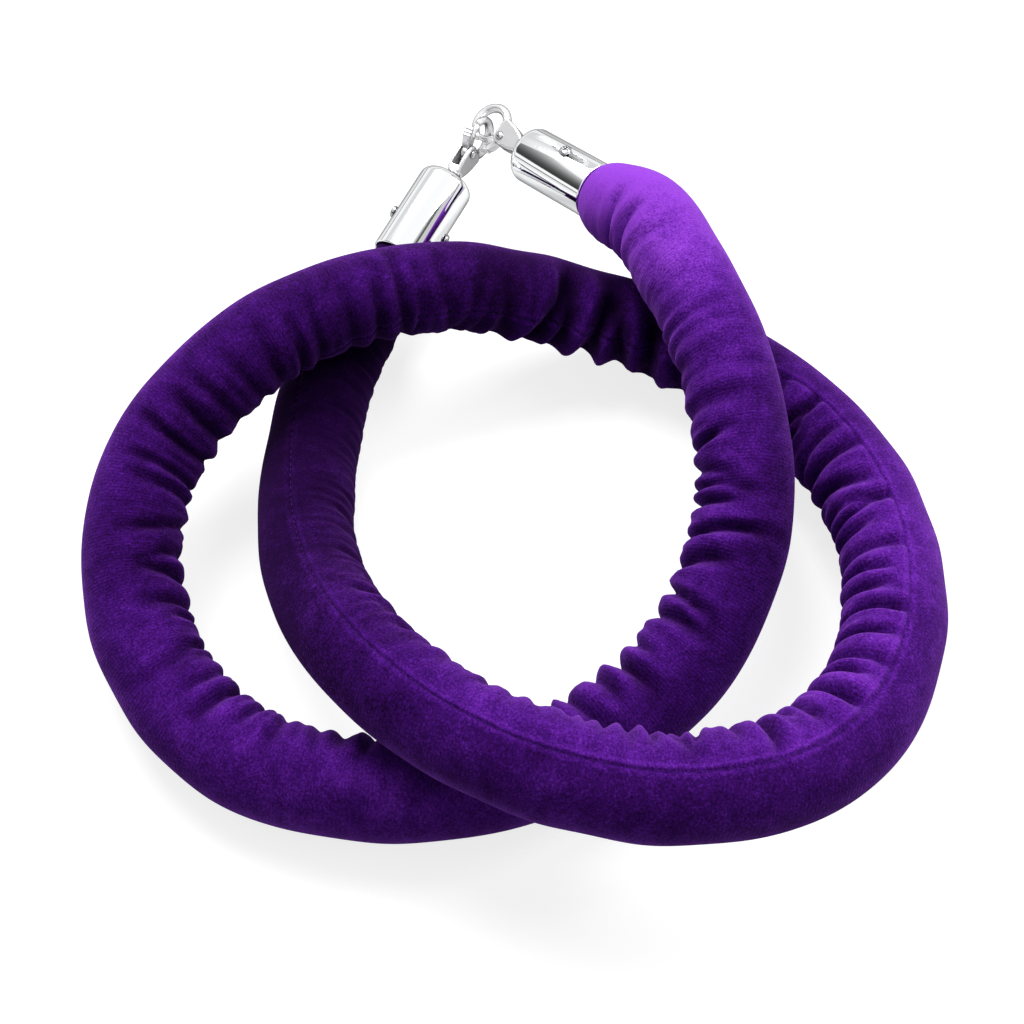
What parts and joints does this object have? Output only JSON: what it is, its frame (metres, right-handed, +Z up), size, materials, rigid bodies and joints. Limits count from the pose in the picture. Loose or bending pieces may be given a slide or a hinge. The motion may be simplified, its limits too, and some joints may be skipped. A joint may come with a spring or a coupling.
{
  "type": "velvet barrier rope",
  "caption": "Plush velvet crowd-barrier rope coiled over itself, with chrome end caps, swivelling snap hooks clipped together, and spring gates.",
  "frame": {"origin": "middle of the coil's footprint, on the floor", "axes": "+Z up, +Y from the coil towards the clipped hooks, +X to the right"},
  "size_m": [0.3238, 0.3552, 0.0807],
  "materials": {
    "velvet": "purple velvet pile",
    "foam": "off-white foam",
    "cord": "braided natural cord",
    "cap_chrome": "polished",
    "hook_chrome": "polished casting",
    "screw_chrome": "plated",
    "spring_steel": "drawn wire",
    "plug_wood": "turned hardwood"
  },
  "bodies": {
    "coil": {"velvet_cover_right_end": "velvet", "velvet_cover_top": "velvet", "velvet_cover_left_end": "velvet", "foam_core_right_end": "foam", "foam_core_top": "foam", "foam_core_left_end": "foam", "inner_cord_right_end": "cord", "inner_cord_top": "cord", "inner_cord_left_end": "cord", "right_end_cap": "cap_chrome", "right_cap_screw_upper": "screw_chrome", "right_cap_screw_lower": "screw_chrome", "right_end_plug": "plug_wood", "right_swivel_washer": "spring_steel", "left_end_cap": "cap_chrome", "left_cap_screw_upper": "screw_chrome", "left_cap_screw_lower": "screw_chrome", "left_end_plug": "plug_wood", "left_swivel_washer": "spring_steel"},
    "left_lobe": {"velvet_cover_left_lobe": "velvet", "foam_core_left_lobe": "foam", "inner_cord_left_lobe": "cord"},
    "right_lobe": {"velvet_cover_right_lobe": "velvet", "foam_core_right_lobe": "foam", "inner_cord_right_lobe": "cord"},
    "right_hook": {"right_snap_hook": "hook_chrome", "right_gate_rivet": "screw_chrome", "right_gate_spring": "spring_steel"},
    "right_gate": {"right_gate": "hook_chrome"},
    "left_hook": {"left_snap_hook": "hook_chrome", "left_gate_rivet": "screw_chrome", "left_gate_spring": "spring_steel"},
    "left_gate": {"left_gate": "hook_chrome"}
  },
  "joints": [
    {"name": "left_lobe_fold", "type": "hinge", "parent": "coil", "child": "left_lobe", "pos_m": [-0.10889, -0.04787, 0.03629], "axis": [0, 0.9716, 0.2365], "range_deg": [0, 30]},
    {"name": "right_lobe_fold", "type": "hinge", "parent": "coil", "child": "right_lobe", "pos_m": [0.11211, -0.05198, 0.03252], "axis": [0, -0.9872, 0.1594], "range_deg": [0, 30]},
    {"name": "left_hook_swivel", "type": "hinge", "parent": "coil", "child": "left_hook", "pos_m": [-0.02754, 0.14046, 0.03824], "axis": [0.4851, 0.8403, 0.2419], "range_deg": [-15, 15]},
    {"name": "left_gate_pivot", "type": "hinge", "parent": "left_hook", "child": "left_gate", "pos_m": [-0.02002, 0.15348, 0.04199], "axis": [-0.8522, 0.5164, -0.0846], "range_deg": [0, 18], "stiffness_Nm_per_rad": 0.02},
    {"name": "right_hook_swivel", "type": "hinge", "parent": "coil", "child": "right_hook", "pos_m": [0.00656, 0.14718, 0.04796], "axis": [-0.6716, 0.7202, -0.1736], "range_deg": [-15, 15]},
    {"name": "right_gate_pivot", "type": "hinge", "parent": "right_hook", "child": "right_gate", "pos_m": [-0.00385, 0.15834, 0.04527], "axis": [0.4682, 0.231, -0.8529], "range_deg": [0, 18], "stiffness_Nm_per_rad": 0.02}
  ]
}
